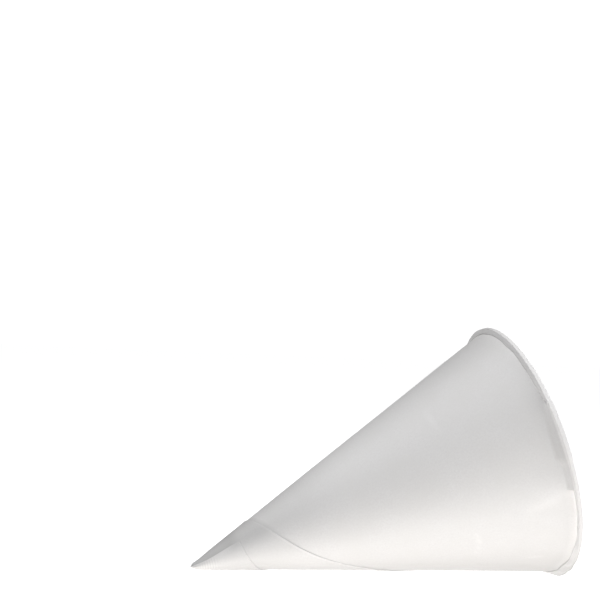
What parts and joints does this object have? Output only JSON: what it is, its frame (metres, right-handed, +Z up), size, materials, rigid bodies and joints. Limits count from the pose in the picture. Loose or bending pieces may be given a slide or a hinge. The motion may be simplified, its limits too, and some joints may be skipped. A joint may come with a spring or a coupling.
{
  "type": "cone paper cup",
  "caption": "Cone-shaped paper drinking cup with a wound seam, a tail wrapped round its tip and an outward rolled rim, lying on its side.",
  "frame": {"origin": "on the surface the cup lies on, below the middle of the cup's box", "axes": "+X from the tip towards the mouth along the surface, +Z up, the cup's axis leans up in the XZ plane"},
  "size_m": [0.1022, 0.07, 0.0657],
  "materials": {
    "paper": "bleached white paper, smooth and dry-waxed, matte"
  },
  "bodies": {
    "root": {"paper_cone": "paper"}
  },
  "joints": []
}
